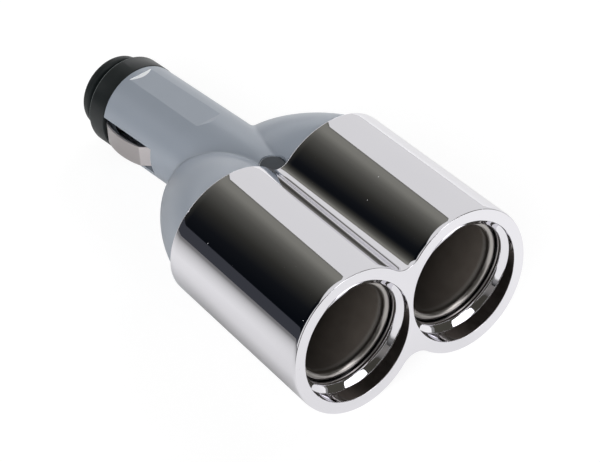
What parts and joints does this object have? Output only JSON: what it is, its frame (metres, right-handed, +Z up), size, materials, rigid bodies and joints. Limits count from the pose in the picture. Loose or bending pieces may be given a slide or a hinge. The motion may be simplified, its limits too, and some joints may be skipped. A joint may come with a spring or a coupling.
{
  "type": "12v power socket adapter",
  "caption": "Plug-in car power socket adapter: bright flared sleeve like exhaust tips round its sockets, rounded grey shoulders, and a pitched plug with sprung contacts and a fuse.",
  "frame": {"origin": "middle of the adapter's box, on the surface it lies on", "axes": "+Y from the sockets' mouths to the plug's tip, +X across the sockets, +Z up"},
  "size_m": [0.0612, 0.1068, 0.0328],
  "materials": {
    "chrome": "mirror",
    "grey_plastic": "satin",
    "black_plastic": "satin",
    "nickel": "satin",
    "brass": "satin",
    "lens": "gloss",
    "led_epoxy": "gloss",
    "board": "satin",
    "resistor_body": "satin",
    "wire_insulation": "matte",
    "glass": "clear",
    "spring_steel": "satin",
    "screw_steel": "satin"
  },
  "bodies": {
    "body": {"chrome_sleeve": "chrome", "upper_shell": "grey_plastic", "lower_shell": "grey_plastic", "socket_carrier": "black_plastic", "socket_tube_left": "nickel", "socket_tube_right": "nickel", "socket_base_left": "black_plastic", "socket_base_right": "black_plastic", "centre_contact_left": "brass", "centre_contact_right": "brass", "led_lens": "lens", "led": "led_epoxy", "led_board": "board", "resistor": "resistor_body", "positive_strip": "brass", "earth_wire_left": "wire_insulation", "earth_wire_right": "wire_insulation", "fuse_spring": "spring_steel", "screw_left": "screw_steel", "screw_right": "screw_steel"},
    "contact_left": {"side_contact_left": "nickel"},
    "contact_right": {"side_contact_right": "nickel"},
    "nose": {"nose_cap": "black_plastic"},
    "tip": {"tip_contact": "nickel", "fuse_cap_front": "nickel", "fuse_glass": "glass", "fuse_wire": "nickel", "fuse_cap_rear": "nickel"}
  },
  "joints": [
    {"name": "contact_left_press", "type": "hinge", "parent": "body", "child": "contact_left", "pos_m": [-0.0083, 0.04169, 0.01058], "axis": [0, 0.1167, 0.9932], "range_deg": [0, 6], "stiffness_Nm_per_rad": 0.3, "springref_deg": -2.86},
    {"name": "contact_right_press", "type": "hinge", "parent": "body", "child": "contact_right", "pos_m": [0.0083, 0.04169, 0.01058], "axis": [0, -0.1167, -0.9932], "range_deg": [0, 6], "stiffness_Nm_per_rad": 0.3, "springref_deg": -2.86},
    {"name": "nose_off", "type": "slide", "parent": "body", "child": "nose", "axis": [0, 0.9932, -0.1167], "range_m": [0, 0.01]},
    {"name": "tip_press", "type": "slide", "parent": "nose", "child": "tip", "axis": [0, -0.9932, 0.1167], "range_m": [0, 0.003], "stiffness_N_per_m": 600, "springref_m": -0.003, "deforming": ["fuse_spring"]}
  ]
}
